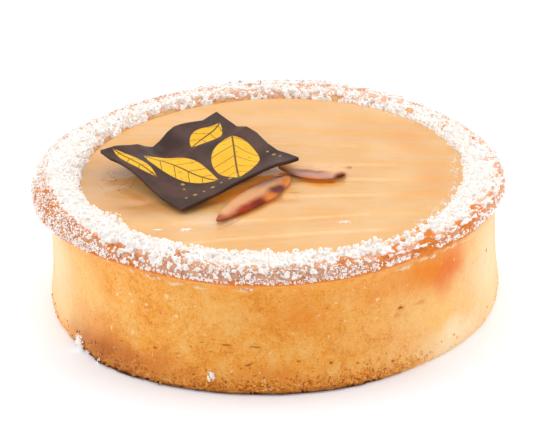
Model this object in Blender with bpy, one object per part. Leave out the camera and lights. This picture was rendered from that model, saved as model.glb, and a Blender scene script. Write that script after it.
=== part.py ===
"""A round pear and almond tart: a deep shortcrust case with a rolled, sugared rim, fanned pear slices
on top, two almond flakes and a thin square of dark chocolate.

Metres, +Z up. The tart stands on z = 0 with its axis on Z. Its front faces -Y.
"""

from math import cos, degrees, exp, pi, radians, sin, tan

import bmesh
import bpy
from mathutils import Matrix, Vector, noise

MM = 0.001
GAP = 0.3 * MM  # between one piece and what it rests on or against

# Pastry case
SEGMENTS = 120
WALL_RADIUS = 40.0 * MM
FOOT_RADIUS = 41.0 * MM  # the base spreads a little where the dough met the baking sheet
LIP_RADIUS = 42.1 * MM
LIP_UNDERSIDE = 20.6 * MM
CREST_RADIUS = 37.0 * MM
CREST_HEIGHT = 24.5 * MM
RIM_INNER_RADIUS = 34.7 * MM
RIM_INNER_HEIGHT = 22.4 * MM
PEAR_BED = 19.6 * MM  # the tart is solid up to here, where the pear lies in it

# Uneven places of the case: (azimuth in degrees from +X, half width in degrees, amount)
FOOT_BULGES = ((-128, 15, 1.1 * MM), (15, 30, -0.5 * MM), (165, 25, -0.5 * MM))
LIP_BULGES = (
    (-166, 18, 1.1 * MM),
    (-126, 14, -0.9 * MM),
    (-88, 15, 0.5 * MM),
    (-52, 14, -0.8 * MM),
    (-20, 14, 0.7 * MM),
    (32, 24, -1.3 * MM),
)
CREST_SWELLS = ((-115, 38, 0.5 * MM), (178, 26, 0.3 * MM), (80, 40, -0.4 * MM), (35, 22, -0.3 * MM))
SUGAR_DRIFTS = ((-140, 45, 0.7), (175, 30, 0.5), (-75, 25, 0.35), (0, 22, 0.3), (115, 25, 0.2))
SUGAR_LEAST = 0.25
SUGAR_LUMP = 3.4 * MM
SUGAR_RELIEF = 0.85 * MM
WALL_LUMP = 9.0 * MM
WALL_RELIEF = 0.25 * MM
EVEN_ROWS = 2  # rows of the inner wall that stay round, so that the pear fits in it

# Pear
PEAR_SLICES = 9
PEAR_STATIONS = 9
PEAR_EDGE_HEIGHT = 22.2 * MM
PEAR_CROWN = 0.4 * MM  # how much higher the middle of the fan is than its edge
PEAR_STEP = 0.35 * MM  # from one slice down to the one it lies on
PEAR_LEAN = 2.4 * MM  # how far a slice runs in under its neighbour
PEAR_RADIUS = RIM_INNER_RADIUS - 1.3 * GAP
PEAR_SIDE_GAP = 0.7 * GAP  # on each side of a line between two slices
PEAR_EDGE_DROP = 0.25 * PEAR_STEP  # how far a slice's long edges round down
FAN_CENTRE = Vector((165 * MM, -12 * MM))  # the point that the slices fan out from
FAN_HALF_ANGLE = radians(12)
FAN_BOW = 0.9 * MM  # the lines between slices bow by up to this, each by a different share
BOW_TURN = 2.3

# Almond flakes: length, width, centre, heading in degrees of the pointed end
FLAKE_THICKNESS = 0.8 * MM
FRONT_FLAKE = (22.5 * MM, 6.6 * MM, Vector((-3.4 * MM, -12.1 * MM)), 234.0)
RIGHT_FLAKE = (13.0 * MM, 7.4 * MM, Vector((7.2 * MM, -1.4 * MM)), 163.0)
FLAKE_STATIONS = 13
FLAKE_SIDES = 10
FLAKE_END = 0.015  # share of the length where the end rings stand
FLAKE_TAPER = 0.82  # under 1 moves the widest place towards the round end
FLAKE_FULLNESS = 0.8
FLAKE_REST = 0.7 * PEAR_STEP + GAP  # height of a flake's underside over the pear's mean surface

# Chocolate square: its corners in plan and the height of its top face at each
CHOCOLATE_CORNERS = {
    "front": Vector((-15.8, -16.9, 24.0)) * MM,
    "right": Vector((4.9, -1.8, 26.4)) * MM,
    "left": Vector((-30.8, 3.2, 26.8)) * MM,
    "back": Vector((-9.9, 18.4, 27.2)) * MM,
}
CHOCOLATE_THICKNESS = 1.1 * MM
CHOCOLATE_SAG = 1.2 * MM
CHOCOLATE_CELLS = 16
# How far each edge waves above the straight line between its corners, at even steps between them
CHOCOLATE_WAVES = {
    "front to right": (0.0, 0.1, 0.6, 0.8, 0.0),
    "left to back": (0.0, -0.1, -0.8, -0.6, 0.0, 0.1, -0.3, -0.85, 0.0),
    "front to left": (0.0, -0.3, -0.5, -0.15, 0.4, 0.75, 0.55, 0.0, 0.0),
    "right to back": (0.0, -0.35, -0.9, -0.6, 0.35, 0.4, -0.7, -0.35, 0.0),
}
# The deep dip in the edge from left to back: where along the edge, its half width, its reach in from
# the edge, all as shares of the side, and its depth
CHOCOLATE_DIP = (0.45, 0.11, 0.28, 2.5 * MM)


def bulge(azimuth, places):
    """The sum of the bell-shaped swellings in places at this azimuth, in radians."""
    total = 0.0
    for centre, half_width, amount in places:
        away = (degrees(azimuth) - centre + 180) % 360 - 180
        total += amount * exp(-((away / half_width) ** 2))
    return total


def sugar_at(azimuth):
    """How thickly the icing sugar lies on the rim here, from 0 to 1."""
    return min(1.0, SUGAR_LEAST + bulge(azimuth, SUGAR_DRIFTS))


def new_object(name, mesh_builder, colour, roughness):
    """Makes one closed mesh object from a bmesh that mesh_builder fills, with its own material."""
    bm = bmesh.new()
    mesh_builder(bm)
    bmesh.ops.recalc_face_normals(bm, faces=bm.faces)
    mesh = bpy.data.meshes.new(name)
    bm.to_mesh(mesh)
    bm.free()
    material = bpy.data.materials.new(name)
    material.use_nodes = True
    shader = material.node_tree.nodes["Principled BSDF"]
    shader.inputs["Base Color"].default_value = (*colour, 1.0)
    shader.inputs["Roughness"].default_value = roughness
    shader.inputs["Metallic"].default_value = 0.0
    mesh.materials.append(material)
    mesh.shade_smooth()
    mesh.set_sharp_from_angle(angle=radians(50))
    obj = bpy.data.objects.new(name, mesh)
    bpy.context.scene.collection.objects.link(obj)
    return obj


def fill_rings(bm, rings):
    """Joins rings of points, each of the same count, into a tube and caps its two ends."""
    loops = [[bm.verts.new(point) for point in ring] for ring in rings]
    for lower, upper in zip(loops, loops[1:]):
        for i in range(len(lower)):
            j = (i + 1) % len(lower)
            bm.faces.new((lower[i], lower[j], upper[j], upper[i]))
    bm.faces.new(list(reversed(loops[0])))
    bm.faces.new(loops[-1])


# ---------------------------------------------------------------- pastry case


def case_section(azimuth):
    """The case at this azimuth, as (radius, height, sugar share), from the base to the pear bed."""
    foot = FOOT_RADIUS + bulge(azimuth, FOOT_BULGES)
    wall = WALL_RADIUS
    lip = LIP_RADIUS + bulge(azimuth, LIP_BULGES)
    crest = CREST_HEIGHT + bulge(azimuth, CREST_SWELLS)
    under = LIP_UNDERSIDE
    outer = [
        (foot - 0.4 * MM, 0.0, 0.0),
        (foot + 0.05 * MM, 0.5 * MM, 0.0),
        (foot + 0.1 * MM, 1.6 * MM, 0.0),
        (foot - 0.1 * MM, 3.2 * MM, 0.0),
        (0.35 * foot + 0.65 * wall, 5.6 * MM, 0.0),
        (wall, 9.0 * MM, 0.0),
        (wall - 0.1 * MM, 13.0 * MM, 0.0),
        (wall + 0.05 * MM, 17.0 * MM, 0.0),
        (wall + 0.25 * MM, under - 1.3 * MM, 0.0),
    ]
    lip_rows = [
        (0.55 * wall + 0.45 * lip, under - 0.1 * MM, 0.0),
        (lip - 0.45 * MM, under + 0.4 * MM, 0.15),
        (lip, under + 1.3 * MM, 0.3),
        (lip - 0.4 * MM, under + 2.3 * MM, 0.5),
        (lip - 1.5 * MM, crest - 0.75 * MM, 0.8),
        (0.5 * (lip - 1.5 * MM) + 0.5 * CREST_RADIUS, crest - 0.15 * MM, 1.0),
        (CREST_RADIUS, crest, 1.0),
        (CREST_RADIUS - 1.1 * MM, crest - 0.4 * MM, 1.0),
        (RIM_INNER_RADIUS + 0.35 * MM, crest - 1.1 * MM, 0.6),
    ]
    inner = [
        (RIM_INNER_RADIUS, RIM_INNER_HEIGHT, 0.0),
        (RIM_INNER_RADIUS, PEAR_BED, 0.0),
    ]
    return outer + lip_rows + inner


def build_case(bm):
    section_rows = len(case_section(0.0))
    rings = [[] for _ in range(section_rows)]
    for step in range(SEGMENTS):
        azimuth = 2 * pi * step / SEGMENTS - pi
        for row, (radius, height, sugar) in enumerate(case_section(azimuth)):
            place = Vector((radius * cos(azimuth), radius * sin(azimuth), height))
            if row == 0 or row >= section_rows - EVEN_ROWS:
                rings[row].append(place)  # the base, the inner wall and the bed stay even
                continue
            depth = SUGAR_RELIEF * sugar * sugar_at(azimuth)
            lump = noise.noise(place / SUGAR_LUMP) * depth
            swell = noise.noise(place / WALL_LUMP) * WALL_RELIEF
            outward = Vector((cos(azimuth), sin(azimuth), 0)) * (swell + 0.3 * lump)
            rise = lump + 0.5 * depth - 0.25 * SUGAR_RELIEF * sugar
            rings[row].append(place + outward + Vector((0, 0, rise)))
    fill_rings(bm, rings)


# ---------------------------------------------------------------- pear


def pear_top(x, y):
    """Height of the pear's surface, without the steps between slices."""
    share = min(1.0, (x * x + y * y) / PEAR_RADIUS**2)
    return PEAR_EDGE_HEIGHT + PEAR_CROWN * (1 - share)


def fan_line(index, x):
    """The y of the line between slice index - 1 and slice index, at this x."""
    angle = FAN_HALF_ANGLE * (2 * index / PEAR_SLICES - 1)
    bow = FAN_BOW * cos(pi * x / (2 * PEAR_RADIUS)) * sin(BOW_TURN * index)
    return (FAN_CENTRE.x - x) * tan(angle) + FAN_CENTRE.y * x / FAN_CENTRE.x + bow


def build_slice(index):
    """A mesh builder for one strip of pear, longer than the tart is wide. The rim's circle trims it."""

    def build(bm):
        reach = PEAR_RADIUS + 2 * MM
        bed = PEAR_BED + GAP
        first = index == 0
        last = index == PEAR_SLICES - 1
        rings = []
        for station in range(PEAR_STATIONS):
            x = -reach + 2 * reach * station / (PEAR_STATIONS - 1)
            front = -reach if first else fan_line(index, x) + PEAR_SIDE_GAP
            back = reach if last else fan_line(index + 1, x) - PEAR_SIDE_GAP
            front_foot = front if first else front + PEAR_LEAN
            back_foot = back if last else back + PEAR_LEAN
            ring = [Vector((x, back_foot, bed)), Vector((x, front_foot, bed))]
            for share in (0.0, 0.12, 0.5, 0.88, 1.0):
                y = front + (back - front) * share
                drop = PEAR_EDGE_DROP if share in (0.0, 1.0) else 0.0
                ring.append(Vector((x, y, pear_top(x, y) + PEAR_STEP * (0.5 - share) - drop)))
            rings.append(ring)
        fill_rings(bm, rings)

    return build


def build_pear_trim(bm):
    """The upright cylinder that the pear slices are trimmed to."""
    height = CREST_HEIGHT - PEAR_BED + 6 * MM
    bmesh.ops.create_cone(
        bm,
        cap_ends=True,
        segments=SEGMENTS,
        radius1=PEAR_RADIUS,
        radius2=PEAR_RADIUS,
        depth=height,
        matrix=Matrix.Translation((0, 0, PEAR_BED - 2 * MM + 0.5 * height)),
    )


def add_pear():
    trim = new_object("pear_trim", build_pear_trim, (0.5, 0.5, 0.5), 0.5)
    trim.hide_render = True
    trim.display_type = "WIRE"
    for index in range(PEAR_SLICES):
        piece = new_object(f"pear_slice_{index + 1}", build_slice(index), (0.93, 0.66, 0.32), 0.25)
        cut = piece.modifiers.new("trim", "BOOLEAN")
        cut.operation = "INTERSECT"
        cut.solver = "EXACT"
        cut.object = trim


# ---------------------------------------------------------------- garnish


def build_flake(length, width, centre, heading):
    """A mesh builder for one almond flake: a thin leaf, round at one end and pointed at the other."""
    along = Vector((cos(radians(heading)), sin(radians(heading)), 0))
    across = Vector((-along.y, along.x, 0))

    def build(bm):
        rings = []
        for station in range(FLAKE_STATIONS):
            share = FLAKE_END + (1 - 2 * FLAKE_END) * station / (FLAKE_STATIONS - 1)
            half = 0.5 * width * sin(pi * share**FLAKE_TAPER) ** FLAKE_FULLNESS
            thick = 0.5 * FLAKE_THICKNESS * min(1.0, 0.45 + 2.4 * sin(pi * share))
            ring = []
            for side in range(FLAKE_SIDES):
                angle = 2 * pi * side / FLAKE_SIDES
                flat = abs(sin(angle)) ** 0.5 * (1 if sin(angle) > 0 else -1)
                plan = centre.to_3d() + along * (share - 0.5) * length + across * half * cos(angle)
                middle = pear_top(plan.x, plan.y) + FLAKE_REST + 0.5 * FLAKE_THICKNESS
                ring.append(plan + Vector((0, 0, middle + thick * flat)))
            rings.append(ring)
        fill_rings(bm, rings)

    return build


def along_wave(name, share):
    """The height of the named edge's wave at this share of its length, smooth between steps."""
    lifts = CHOCOLATE_WAVES[name]
    place = share * (len(lifts) - 1)
    step = min(int(place), len(lifts) - 2)
    blend = 0.5 - 0.5 * cos(pi * (place - step))
    return MM * (lifts[step] + (lifts[step + 1] - lifts[step]) * blend)


def chocolate_top(u, v):
    """A point of the top face: u runs from the front corner to the right one, v to the left one."""
    c = CHOCOLATE_CORNERS
    plane = c["front"].lerp(c["right"], u).lerp(c["left"].lerp(c["back"], u), v)
    sag = CHOCOLATE_SAG * (1 - (2 * u - 1) ** 2) * (1 - (2 * v - 1) ** 2)
    wave = (1 - v) * along_wave("front to right", u) + v * along_wave("left to back", u)
    wave += (1 - u) * along_wave("front to left", v) + u * along_wave("right to back", v)
    place, half_width, reach, depth = CHOCOLATE_DIP
    dip = depth * exp(-(((u - place) / half_width) ** 2) - ((1 - v) / reach) ** 2)
    return plane + Vector((0, 0, wave - sag - dip))


def build_chocolate(bm):
    cells = CHOCOLATE_CELLS
    shares = [i / cells for i in range(cells + 1)]
    top = [[bm.verts.new(chocolate_top(u, v)) for u in shares] for v in shares]
    drop = Vector((0, 0, CHOCOLATE_THICKNESS))
    bottom = [[bm.verts.new(chocolate_top(u, v) - drop) for u in shares] for v in shares]
    for i in range(cells):
        for j in range(cells):
            bm.faces.new((top[i][j], top[i][j + 1], top[i + 1][j + 1], top[i + 1][j]))
            bm.faces.new((bottom[i][j], bottom[i + 1][j], bottom[i + 1][j + 1], bottom[i][j + 1]))
    around = [(0, j) for j in range(cells)] + [(i, cells) for i in range(cells)]
    around += [(cells, cells - j) for j in range(cells)] + [(cells - i, 0) for i in range(cells)]
    for (i, j), (k, l) in zip(around, around[1:] + around[:1]):
        bm.faces.new((top[i][j], bottom[i][j], bottom[k][l], top[k][l]))


def clear_scene():
    for obj in list(bpy.data.objects):
        bpy.data.objects.remove(obj)


def main():
    clear_scene()
    new_object("crust", build_case, (0.78, 0.43, 0.14), 0.8)
    add_pear()
    new_object("almond_flake_front", build_flake(*FRONT_FLAKE), (0.62, 0.27, 0.1), 0.45)
    new_object("almond_flake_right", build_flake(*RIGHT_FLAKE), (0.85, 0.6, 0.36), 0.45)
    new_object("chocolate_square", build_chocolate, (0.09, 0.045, 0.035), 0.3)


main()
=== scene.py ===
"""The looks of a small round pear and almond tart: a browned shortcrust case with icing sugar on its rim,
sliced pear under a clear glaze, a thin printed square of dark chocolate and two toasted almond flakes.

Metres, +Z up. The tart stands on z = 0 with its axis on Z. Its front faces -Y. Lengths are written in
millimetres times MM. An azimuth is in degrees from +X, so the front is at -90.
"""

from math import atan2, cos, degrees, hypot, pi, radians, sin
from random import Random

import bpy
import numpy as np
from mathutils import Matrix, Vector, noise
from mathutils.bvhtree import BVHTree


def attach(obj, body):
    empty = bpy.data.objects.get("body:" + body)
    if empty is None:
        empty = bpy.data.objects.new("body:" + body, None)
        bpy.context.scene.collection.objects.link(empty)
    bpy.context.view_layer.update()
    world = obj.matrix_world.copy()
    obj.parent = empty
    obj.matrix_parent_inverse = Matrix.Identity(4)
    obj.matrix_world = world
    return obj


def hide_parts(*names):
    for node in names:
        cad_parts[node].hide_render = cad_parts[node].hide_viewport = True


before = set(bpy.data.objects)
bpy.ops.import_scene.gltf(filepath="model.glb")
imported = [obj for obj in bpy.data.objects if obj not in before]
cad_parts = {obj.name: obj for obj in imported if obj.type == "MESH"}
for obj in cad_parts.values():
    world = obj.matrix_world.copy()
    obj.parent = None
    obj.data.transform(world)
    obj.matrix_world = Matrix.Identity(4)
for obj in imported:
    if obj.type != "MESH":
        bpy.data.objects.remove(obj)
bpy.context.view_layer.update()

MM = 0.001

# Pastry case: its section from the middle of the base round to the middle of the pear's bed
CASE_OUTSIDE = (
    (40.6, 0.0),
    (41.05, 0.5),
    (41.1, 1.6),
    (40.9, 3.2),
    (40.3, 5.6),
    (40.0, 9.0),
    (39.9, 13.0),
    (40.05, 17.0),
    (40.25, 19.3),
    (40.95, 20.5),
    (41.65, 21.0),
    (42.1, 21.9),
    (41.7, 22.9),
    (40.6, 23.75),
    (38.8, 24.35),
    (37.0, 24.5),
    (35.9, 24.1),
    (35.05, 23.4),
    (34.7, 22.4),
)
CASE_ROW = 1.22 * MM  # between points along the section
CASE_STEPS = 190  # round the axis
PEAR_BED = 19.6 * MM
WALL_RADIUS = 40.0 * MM
WALL_SKIN = 2 * MM  # what lies further in than this is under the wall
RIM_FOOT = 20.4 * MM  # the wall ends and the rolled rim begins
CREST_RADIUS = 37.0 * MM
RIM_INNER_RADIUS = 34.7 * MM
CREST_DROP = 0.95 * MM  # how far the crest lies lower under the sugar, at the front
LIP_OUT_LEFT = 0.7 * MM  # how far the rim's lip hangs further out at the left, and less far at the right
LIP_IN_RIGHT = 0.4 * MM

# The thin dark lip round the front of the foot, which stands in for the contact shadow on the table: height,
# how far it spreads, and the azimuths of its ends
FOOT_LIP = 0.34 * MM
FOOT_SPREAD = 0.9 * MM
FOOT_LIP_FROM = -155
FOOT_LIP_TO = -54
FOOT_CRUMB_TOP = 3.8 * MM  # the crumbly band of the foot reaches this high

# Pear and glaze
PEAR_SLICES = [f"pear_slice_{number}" for number in range(1, 10)]
FAN_CENTRE = (165 * MM, -12 * MM)  # the point that the slices fan out from
GLAZE_RADIUS = 34.62 * MM
GLAZE_EDGE = 22.75 * MM
GLAZE_DEPTH = 0.3 * MM

# Icing sugar on the rim: azimuth, then how thickly it lies on the outer slope, the crest and the inner
# edge, where 1 is a closed coat, and how far in mm it has fallen in over the glaze. Where this is under
# 0, it stops short of the glaze.
SUGAR_ROUND = (
    (-180, 0.90, 1.02, 1.00, 0.5),
    (-173, 0.76, 1.02, 1.00, 0.5),
    (-166, 0.54, 1.02, 1.00, 0.4),
    (-158, 0.56, 1.03, 1.04, 0.3),
    (-153, 0.58, 1.03, 1.04, 1.7),
    (-147, 0.60, 1.05, 1.05, 2.6),
    (-138, 0.64, 1.05, 1.05, 1.2),
    (-125, 0.71, 1.04, 1.05, 1.1),
    (-115, 0.74, 1.00, 1.05, 0.5),
    (-105, 0.76, 0.98, 1.05, 0.8),
    (-90, 0.79, 0.96, 1.00, 0.4),
    (-80, 0.77, 0.94, 0.98, -0.1),
    (-73, 0.70, 0.91, 0.94, -1.0),
    (-60, 0.62, 0.89, 0.89, -2.4),
    (-51, 0.60, 0.88, 0.89, -2.3),
    (-42, 0.61, 0.88, 0.90, -0.7),
    (-30, 0.62, 0.89, 0.93, 0.3),
    (-10, 0.66, 0.90, 0.96, 0.6),
    (10, 0.62, 0.86, 0.94, 0.5),
    (35, 0.54, 0.79, 1.02, 0.5),
    (60, 0.52, 0.77, 0.84, 0.3),
    (90, 0.54, 0.78, 0.74, 0.1),
    (135, 0.60, 0.82, 0.78, 0.1),
    (160, 0.78, 0.96, 0.92, 0.4),
    (180, 0.90, 1.02, 1.00, 0.5),
)
# Where the crust shows through: azimuth, radius in mm, size in mm
BARE_PATCHES = (
    (-168, 42.4, 1.9),
    (-158, 41.9, 1.5),
    (-132, 40.5, 1.4),
    (-126, 41.6, 1.4),
    (-115, 37.9, 2.0),
    (-73, 40.0, 1.5),
    (-64, 41.6, 1.6),
    (-58, 38.8, 1.2),
    (-50, 41.2, 2.2),
    (-47, 38.3, 1.5),
    (-37, 41.8, 2.2),
    (-28, 39.2, 1.4),
    (16, 38.3, 0.9),
    (28, 36.3, 0.9),
    (44, 35.7, 1.0),
    (57, 35.6, 0.9),
    (70, 35.7, 1.0),
    (112, 35.8, 0.9),
)

# Chocolate square: its front corner in plan, the way its front edge runs, and its side
CHOCOLATE_CORNER = (-15.8 * MM, -16.9 * MM, 0.0)
CHOCOLATE_TURN = radians(36.1)

# Almond flakes: length and width in mm, centre in plan, heading of the pointed end in degrees
FRONT_FLAKE = (22.5, 6.6, (-3.4 * MM, -12.1 * MM, 0.0), 234.0)
RIGHT_FLAKE = (13.0, 7.4, (7.2 * MM, -1.4 * MM, 0.0), 163.0)


# ---------------------------------------------------------------- shader maths


def colour(red, green, blue):
    """A colour given as it looks on screen, from 0 to 255, as the shader's own."""
    parts = [part / 255 for part in (red, green, blue)]
    return (*[p / 12.92 if p <= 0.04045 else ((p + 0.055) / 1.055) ** 2.4 for p in parts], 1.0)


class Value:
    """The output of a shader node. Sums, products and the like of values add Math nodes."""

    def __init__(self, finish, socket):
        self.finish = finish
        self.socket = socket

    def maths(self, operation, *terms):
        return self.finish.node("ShaderNodeMath", {"operation": operation}, dict(enumerate(terms)))

    def __add__(self, other):
        return self.maths("ADD", self, other)

    def __radd__(self, other):
        return self.maths("ADD", other, self)

    def __sub__(self, other):
        return self.maths("SUBTRACT", self, other)

    def __rsub__(self, other):
        return self.maths("SUBTRACT", other, self)

    def __mul__(self, other):
        return self.maths("MULTIPLY", self, other)

    def __rmul__(self, other):
        return self.maths("MULTIPLY", other, self)

    def __truediv__(self, other):
        return self.maths("DIVIDE", self, other)

    def __rtruediv__(self, other):
        return self.maths("DIVIDE", other, self)

    def __pow__(self, other):
        return self.maths("POWER", self, other)

    def __abs__(self):
        return self.maths("ABSOLUTE", self)

    def at_least(self, other):
        return self.maths("MAXIMUM", self, other)

    def at_most(self, other):
        return self.maths("MINIMUM", self, other)

    def rise(self, low, high):
        """Goes smoothly from 0 at low to 1 at high. Where low is the greater, it falls instead."""
        settings = {"interpolation_type": "SMOOTHSTEP"}
        return self.finish.node("ShaderNodeMapRange", settings, {0: self, 1: low, 2: high})


class Finish:
    """One material, built up from nodes that feed one Principled shader."""

    def __init__(self, name, constants):
        self.material = bpy.data.materials.new(name)
        self.material.use_nodes = True
        self.tree = self.material.node_tree
        self.shader = self.tree.nodes["Principled BSDF"]
        for socket, value in constants.items():
            self.shader.inputs[socket].default_value = value
        self.place = self.node("ShaderNodeTexCoord", output="Object")

    def node(self, kind, settings=None, sockets=None, output=0):
        """Adds a node of this kind: its settings first, then what its sockets hold or are linked to."""
        made = self.tree.nodes.new(kind)
        for name, value in (settings or {}).items():
            if name == "stops":
                self.set_stops(made.color_ramp.elements, value)
            else:
                setattr(made, name, value)
        for key, value in (sockets or {}).items():
            if isinstance(value, Value):
                self.tree.links.new(value.socket, made.inputs[key])
            else:
                made.inputs[key].default_value = value
        return Value(self, made.outputs[output])

    @staticmethod
    def set_stops(elements, stops):
        while len(elements) < len(stops):
            elements.new(1.0)
        for element, (position, shade) in zip(elements, stops):
            element.position = position
            element.color = shade

    def feed(self, socket, value):
        self.tree.links.new(value.socket, self.shader.inputs[socket])

    def split(self, vector):
        """The three numbers of a vector."""
        sockets = {0: vector}
        return [self.node("ShaderNodeSeparateXYZ", None, sockets, axis) for axis in range(3)]

    def join(self, x, y, z):
        return self.node("ShaderNodeCombineXYZ", None, {0: x, 1: y, 2: z})

    def grain(self, size, detail=3.0, roughness=0.55, at=None, distortion=0.0):
        """Cloudy noise from 0 to 1 with lumps of about this size."""
        sockets = {
            "Vector": at or self.place,
            "Scale": 1 / size,
            "Detail": detail,
            "Roughness": roughness,
            "Distortion": distortion,
        }
        return self.node("ShaderNodeTexNoise", None, sockets)

    def ramp(self, share, *stops):
        return self.node("ShaderNodeValToRGB", {"stops": stops}, {0: share})

    def mix(self, share, first, second, blend="MIX"):
        """The first colour where share is 0 and the second where it is 1."""
        settings = {"data_type": "RGBA", "blend_type": blend}
        return self.node("ShaderNodeMix", settings, {0: share, 6: first, 7: second}, 2)

    def shifted(self, amount, size):
        """The place on the object, pushed about by up to this amount, so that what it draws is uneven."""
        sockets = {"Vector": self.place, "Scale": 1 / size, "Detail": 3.0}
        push = self.node("ShaderNodeTexNoise", None, sockets, "Color")
        centred = self.node("ShaderNodeVectorMath", {"operation": "SUBTRACT"}, {0: push, 1: (0.5,) * 3})
        scaled = self.node("ShaderNodeVectorMath", {"operation": "SCALE"}, {0: centred, "Scale": 2 * amount})
        return self.node("ShaderNodeVectorMath", {"operation": "ADD"}, {0: self.place, 1: scaled})

    def own_frame(self, centre, turn, size=(1.0, 1.0, 1.0), at=None):
        """The place measured from a centre, along axes turned about Z, in units of size."""
        sockets = {"Vector": at or self.place, "Location": centre, "Rotation": (0, 0, turn), "Scale": size}
        return self.node("ShaderNodeMapping", {"vector_type": "TEXTURE"}, sockets)

    def spot(self, centre, turn, size, softness=0.7, at=None):
        """1 in the middle of an oval spot and 0 outside it."""
        inside = self.own_frame(centre, turn, size, at)
        reach = self.node("ShaderNodeVectorMath", {"operation": "LENGTH"}, {0: inside}, "Value")
        return reach.rise(1.0, 1.0 - softness)

    def bump(self, height, depth, under=None):
        """A Normal that stands up by this depth where height is 1."""
        sockets = {"Height": height, "Distance": depth}
        if under:
            sockets["Normal"] = under
        return self.node("ShaderNodeBump", None, sockets)


# ---------------------------------------------------------------- modelling


def choose(*pieces):
    """Makes these the only selected pieces, and the first of them the active one."""
    bpy.ops.object.select_all(action="DESELECT")
    for piece in pieces:
        piece.select_set(True)
    bpy.context.view_layer.objects.active = pieces[0]


def named(name):
    """Gives the primitive or copy that was just made its name."""
    piece = bpy.context.view_layer.objects.active
    piece.name = name
    piece.data.name = name
    return piece


def modify(piece, kind, **settings):
    """Adds a modifier and applies it."""
    choose(piece)
    modifier = piece.modifiers.new(kind.title(), kind)
    for setting, value in settings.items():
        setattr(modifier, setting, value)
    bpy.ops.object.modifier_apply(modifier=modifier.name)


def refine(piece, levels):
    modify(piece, "SUBSURF", levels=levels, render_levels=levels)


def lumps(size, depth=2):
    """A cloudy texture for displacing, with lumps of this size."""
    texture = bpy.data.textures.new("lumps", "CLOUDS")
    texture.noise_scale = size
    texture.noise_depth = depth
    return texture


def weigh(piece, name, weight):
    """A vertex group that holds weight(place) at each vertex."""
    group = piece.vertex_groups.new(name=name)
    for vertex in piece.data.vertices:
        share = weight(vertex.co)
        if share > 0:
            group.add([vertex.index], min(1.0, share), "REPLACE")
    return name


def close_holes(piece):
    """Fills each open edge with a flat face."""
    choose(piece)
    bpy.ops.object.mode_set(mode="EDIT")
    bpy.ops.mesh.select_all(action="SELECT")
    bpy.ops.mesh.fill_holes(sides=0)
    bpy.ops.mesh.normals_make_consistent(inside=False)
    bpy.ops.object.mode_set(mode="OBJECT")


def displace(piece, amount, size=None, group="", depth=2, direction="NORMAL"):
    """Pushes the surface out by up to amount: evenly, or up and down in lumps of a size."""
    settings = {
        "strength": amount,
        "mid_level": 0.5 if size else 0.0,
        "texture": lumps(size, depth) if size else None,
        "vertex_group": group,
        "direction": direction,
    }
    modify(piece, "DISPLACE", **settings)


def smooth_line(points, spacing):
    """Points at an even spacing along a smooth curve through these points."""
    points = [Vector(point) for point in points]
    ends = [2 * points[0] - points[1]] + points + [2 * points[-1] - points[-2]]
    fine = []
    for a, b, c, d in zip(ends, ends[1:], ends[2:], ends[3:]):
        for step in range(20):
            t = step / 20
            near = (2 * b + (c - a) * t + (2 * a - 5 * b + 4 * c - d) * t * t)
            fine.append(0.5 * (near + (3 * b - a - 3 * c + d) * t**3))
    fine.append(points[-1])
    lengths = np.cumsum([0.0] + [(q - p).length for p, q in zip(fine, fine[1:])])
    count = max(1, round(lengths[-1] / spacing))
    wanted = np.linspace(0, lengths[-1], count + 1)
    columns = [np.interp(wanted, lengths, [point[axis] for point in fine]) for axis in range(len(fine[0]))]
    return [Vector(place) for place in zip(*columns)]


def turned(name, section, steps, closed=False):
    """A round piece, made by spinning a section of (radius, height) points about Z."""
    bpy.ops.object.select_all(action="DESELECT")
    bpy.ops.mesh.primitive_plane_add(size=MM)
    piece = named(name)
    bpy.ops.object.mode_set(mode="EDIT")
    bpy.ops.mesh.merge(type="CENTER")
    radius, height = section[0]
    bpy.ops.transform.translate(value=(radius, 0, height))
    for before, after in zip(section, section[1:]):
        move = after - before
        bpy.ops.mesh.extrude_vertices_move(TRANSFORM_OT_translate={"value": (move[0], 0, move[1])})
    bpy.ops.mesh.select_all(action="SELECT")
    if closed:
        bpy.ops.mesh.remove_doubles(threshold=0.001 * MM)
    bpy.ops.mesh.spin(steps=steps, angle=2 * pi, center=(0, 0, 0), axis=(0, 0, 1))
    bpy.ops.mesh.select_all(action="SELECT")
    bpy.ops.mesh.remove_doubles(threshold=0.002 * MM)
    bpy.ops.mesh.normals_make_consistent(inside=False)
    bpy.ops.object.mode_set(mode="OBJECT")
    return piece


def joined_copy(name, *pieces):
    """One mesh of copies of these pieces."""
    copies = []
    for piece in pieces:
        copy = piece.copy()
        copy.data = piece.data.copy()
        bpy.context.scene.collection.objects.link(copy)
        copies.append(copy)
    choose(*copies)
    if len(copies) > 1:
        bpy.ops.object.join()
    return named(name)


def merged_copy(name, *nodes):
    """A copy of CAD nodes as one mesh of joined faces."""
    piece = joined_copy(name, *[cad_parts[node] for node in nodes])
    piece.parent = None
    piece.hide_render = False
    for key in list(piece.keys()):
        del piece[key]
    piece.data.materials.clear()
    bpy.ops.object.mode_set(mode="EDIT")
    bpy.ops.mesh.select_all(action="SELECT")
    bpy.ops.mesh.remove_doubles(threshold=0.005 * MM)
    bpy.ops.mesh.tris_convert_to_quads(face_threshold=radians(50), shape_threshold=radians(50))
    bpy.ops.object.mode_set(mode="OBJECT")
    return piece


def tree_of(piece):
    """What finds the nearest point of a piece's surface."""
    return BVHTree.FromObject(piece, bpy.context.evaluated_depsgraph_get())


def finish_piece(piece, finish, replaces=()):
    """Gives a piece its material and its place in the frame."""
    piece.data.materials.clear()
    piece.data.materials.append(finish.material)
    choose(piece)
    bpy.ops.object.shade_smooth()
    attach(piece, "root")
    if replaces:
        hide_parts(*replaces)


def held(number):
    """A number held between 0 and 1."""
    return min(1.0, max(0.0, number))


def azimuth_of(place):
    return degrees(atan2(place.y, place.x))


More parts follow.
